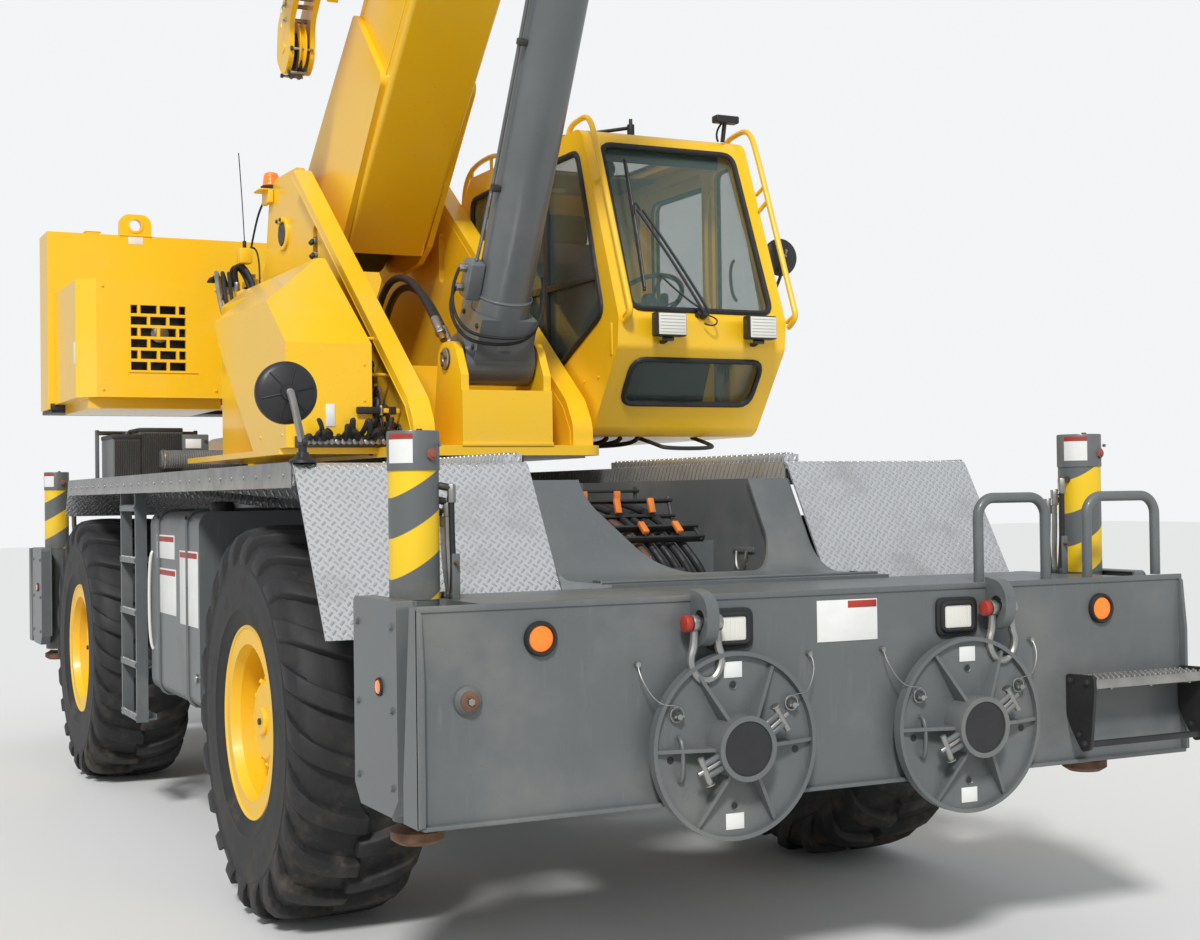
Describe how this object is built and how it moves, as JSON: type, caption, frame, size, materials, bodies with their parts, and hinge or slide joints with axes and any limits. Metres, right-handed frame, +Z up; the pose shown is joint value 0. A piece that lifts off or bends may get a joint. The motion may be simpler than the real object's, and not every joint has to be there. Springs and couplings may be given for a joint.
{
  "type": "rough-terrain mobile crane",
  "caption": "Two-axle rough-terrain crane with a four-section telescopic boom, side cab, slewing upper works, lift cylinder and sliding outriggers.",
  "frame": {"origin": "on the ground under the middle of the whole crane", "axes": "+X to the crane's left, +Y to its rear, +Z up; the front faces -Y"},
  "size_m": [3.363, 10.9388, 10.5598],
  "materials": {
    "carrier_paint": "semi-gloss",
    "crane_yellow": "gloss",
    "cylinder_grey": "semi-gloss",
    "dark_paint": "satin",
    "tread_plate": "satin",
    "tyre": "matte",
    "bright_rod": "polished",
    "bearing_steel": "satin",
    "seat_cloth": "matte",
    "window_glass": "gloss"
  },
  "bodies": {
    "carrier": {"chassis_frame": "carrier_paint", "decks": "tread_plate", "front_outrigger_box": "carrier_paint", "rear_outrigger_box": "carrier_paint", "front_axle": "carrier_paint", "rear_axle": "carrier_paint", "engine": "dark_paint", "engine_hood": "crane_yellow", "cooling_pack": "carrier_paint", "side_tanks": "carrier_paint", "ladders": "carrier_paint", "grab_hoops": "crane_yellow", "stowed_floats": "dark_paint", "deck_mirror": "dark_paint", "swing_bearing": "bearing_steel"},
    "upper": {"turntable": "crane_yellow", "counterweight": "crane_yellow", "ballast_eyes": "crane_yellow", "cooler_box": "crane_yellow", "main_hoist": "crane_yellow", "aux_hoist": "crane_yellow", "valve_cover": "crane_yellow", "cab_shell": "crane_yellow", "cab_glass": "window_glass", "cab_seat": "seat_cloth", "cab_mirror": "dark_paint"},
    "cab_door": {"cab_door": "crane_yellow"},
    "lift_base_pin": {"lift_base_pin": "bearing_steel"},
    "lift_barrel": {"lift_barrel": "cylinder_grey"},
    "lift_piston": {"lift_piston": "bearing_steel"},
    "lift_rod": {"lift_rod": "bright_rod"},
    "boom_foot_pin": {"boom_foot_pin": "bearing_steel"},
    "boom": {"boom_base": "crane_yellow", "stowed_extension": "crane_yellow"},
    "boom_mid_1": {"boom_mid_1": "crane_yellow"},
    "boom_mid_2": {"boom_mid_2": "crane_yellow"},
    "boom_fly": {"boom_fly": "crane_yellow"},
    "head_sheaves": {"head_sheaves": "bearing_steel"},
    "hook_block": {"hook_block": "crane_yellow"},
    "front_right_knuckle": {"front_right_knuckle": "carrier_paint"},
    "front_right_wheel": {"front_right_rim": "crane_yellow", "front_right_tyre": "tyre"},
    "front_right_beam": {"front_right_beam": "carrier_paint"},
    "front_right_jack": {"front_right_jack": "bright_rod"},
    "front_left_knuckle": {"front_left_knuckle": "carrier_paint"},
    "front_left_wheel": {"front_left_rim": "crane_yellow", "front_left_tyre": "tyre"},
    "front_left_beam": {"front_left_beam": "carrier_paint"},
    "front_left_jack": {"front_left_jack": "bright_rod"},
    "rear_right_knuckle": {"rear_right_knuckle": "carrier_paint"},
    "rear_right_wheel": {"rear_right_rim": "crane_yellow", "rear_right_tyre": "tyre"},
    "rear_right_beam": {"rear_right_beam": "carrier_paint"},
    "rear_right_jack": {"rear_right_jack": "bright_rod"},
    "rear_left_knuckle": {"rear_left_knuckle": "carrier_paint"},
    "rear_left_wheel": {"rear_left_rim": "crane_yellow", "rear_left_tyre": "tyre"},
    "rear_left_beam": {"rear_left_beam": "carrier_paint"},
    "rear_left_jack": {"rear_left_jack": "bright_rod"}
  },
  "joints": [
    {"name": "slew", "type": "hinge", "parent": "carrier", "child": "upper", "pos_m": [0, 1.23, 1.905], "axis": [0, 0, 1], "continuous": true},
    {"name": "boom_lower", "type": "hinge", "parent": "upper", "child": "boom_foot_pin", "pos_m": [0, 2.53, 3.33], "axis": [-1, 0, 0], "range_deg": [-47.3, 0]},
    {"name": "boom_raise", "type": "hinge", "parent": "boom_foot_pin", "child": "boom", "pos_m": [0, 2.53, 3.33], "axis": [-1, 0, 0], "range_deg": [0, 33.7]},
    {"name": "telescope", "type": "slide", "parent": "boom", "child": "boom_mid_1", "axis": [0, -0.7157, 0.6984], "range_m": [0, 7.3]},
    {"name": "telescope_2", "type": "slide", "parent": "boom_mid_1", "child": "boom_mid_2", "axis": [0, -0.7157, 0.6984], "range_m": [0, 7.3]},
    {"name": "telescope_3", "type": "slide", "parent": "boom_mid_2", "child": "boom_fly", "axis": [0, -0.7157, 0.6984], "range_m": [0, 7.3]},
    {"name": "head_lower", "type": "hinge", "parent": "boom_fly", "child": "head_sheaves", "pos_m": [0, -5.23383, 9.83542], "axis": [-1, 0, 0], "range_deg": [0, 47.3]},
    {"name": "head_raise", "type": "hinge", "parent": "head_sheaves", "child": "hook_block", "pos_m": [0, -5.23383, 9.83542], "axis": [-1, 0, 0], "range_deg": [-33.7, 0]},
    {"name": "lift_lower", "type": "hinge", "parent": "upper", "child": "lift_base_pin", "pos_m": [0, 0.26, 2.39], "axis": [-1, 0, 0], "range_deg": [-63.9, 0]},
    {"name": "lift_raise", "type": "hinge", "parent": "lift_base_pin", "child": "lift_barrel", "pos_m": [0, 0.26, 2.39], "axis": [-1, 0, 0], "range_deg": [0, 31.27]},
    {"name": "lift_in", "type": "slide", "parent": "lift_barrel", "child": "lift_piston", "axis": [0, -0.4722, 0.8815], "range_m": [-1.579, 0]},
    {"name": "lift_out", "type": "slide", "parent": "lift_piston", "child": "lift_rod", "axis": [0, -0.4722, 0.8815], "range_m": [0, 1.4044]},
    {"name": "cab_door_slide", "type": "slide", "parent": "upper", "child": "cab_door", "axis": [0, 1, 0], "range_m": [0, 0.65]},
    {"name": "front_right_steer", "type": "hinge", "parent": "carrier", "child": "front_right_knuckle", "pos_m": [-1.01, -0.7915, 0.8], "axis": [0, 0, 1], "range_deg": [-24, 24]},
    {"name": "front_right_roll", "type": "hinge", "parent": "front_right_knuckle", "child": "front_right_wheel", "pos_m": [-1.273, -0.7915, 0.8], "axis": [1, 0, 0], "continuous": true},
    {"name": "front_right_beam_out", "type": "slide", "parent": "carrier", "child": "front_right_beam", "axis": [-1, 0, 0], "range_m": [0, 1.95]},
    {"name": "front_right_jack_down", "type": "slide", "parent": "front_right_beam", "child": "front_right_jack", "axis": [0, 0, -1], "range_m": [0, 0.56]},
    {"name": "front_left_steer", "type": "hinge", "parent": "carrier", "child": "front_left_knuckle", "pos_m": [1.01, -0.7915, 0.8], "axis": [0, 0, 1], "range_deg": [-24, 24]},
    {"name": "front_left_roll", "type": "hinge", "parent": "front_left_knuckle", "child": "front_left_wheel", "pos_m": [1.273, -0.7915, 0.8], "axis": [1, 0, 0], "continuous": true},
    {"name": "front_left_beam_out", "type": "slide", "parent": "carrier", "child": "front_left_beam", "axis": [1, 0, 0], "range_m": [0, 1.95]},
    {"name": "front_left_jack_down", "type": "slide", "parent": "front_left_beam", "child": "front_left_jack", "axis": [0, 0, -1], "range_m": [0, 0.56]},
    {"name": "rear_right_steer", "type": "hinge", "parent": "carrier", "child": "rear_right_knuckle", "pos_m": [-1.01, 3.2515, 0.8], "axis": [0, 0, 1], "range_deg": [-24, 24]},
    {"name": "rear_right_roll", "type": "hinge", "parent": "rear_right_knuckle", "child": "rear_right_wheel", "pos_m": [-1.273, 3.2515, 0.8], "axis": [1, 0, 0], "continuous": true},
    {"name": "rear_right_beam_out", "type": "slide", "parent": "carrier", "child": "rear_right_beam", "axis": [-1, 0, 0], "range_m": [0, 1.95]},
    {"name": "rear_right_jack_down", "type": "slide", "parent": "rear_right_beam", "child": "rear_right_jack", "axis": [0, 0, -1], "range_m": [0, 0.56]},
    {"name": "rear_left_steer", "type": "hinge", "parent": "carrier", "child": "rear_left_knuckle", "pos_m": [1.01, 3.2515, 0.8], "axis": [0, 0, 1], "range_deg": [-24, 24]},
    {"name": "rear_left_roll", "type": "hinge", "parent": "rear_left_knuckle", "child": "rear_left_wheel", "pos_m": [1.273, 3.2515, 0.8], "axis": [1, 0, 0], "continuous": true},
    {"name": "rear_left_beam_out", "type": "slide", "parent": "carrier", "child": "rear_left_beam", "axis": [1, 0, 0], "range_m": [0, 1.95]},
    {"name": "rear_left_jack_down", "type": "slide", "parent": "rear_left_beam", "child": "rear_left_jack", "axis": [0, 0, -1], "range_m": [0, 0.56]}
  ],
  "couplings": [
    {"joint": "telescope_2", "follows": "telescope", "ratio": 1},
    {"joint": "telescope_3", "follows": "telescope", "ratio": 1},
    {"joint": "head_lower", "follows": "boom_lower", "ratio": -1},
    {"joint": "head_raise", "follows": "boom_raise", "ratio": -1},
    {"joint": "lift_lower", "follows": "boom_lower", "ratio": 1.35},
    {"joint": "lift_raise", "follows": "boom_raise", "ratio": 0.9264},
    {"joint": "lift_in", "follows": "boom_lower", "m_per_rad": 1.9115},
    {"joint": "lift_out", "follows": "boom_raise", "m_per_rad": 2.386},
    {"joint": "front_right_steer", "follows": "front_left_steer", "ratio": 1},
    {"joint": "rear_right_steer", "follows": "rear_left_steer", "ratio": 1}
  ]
}
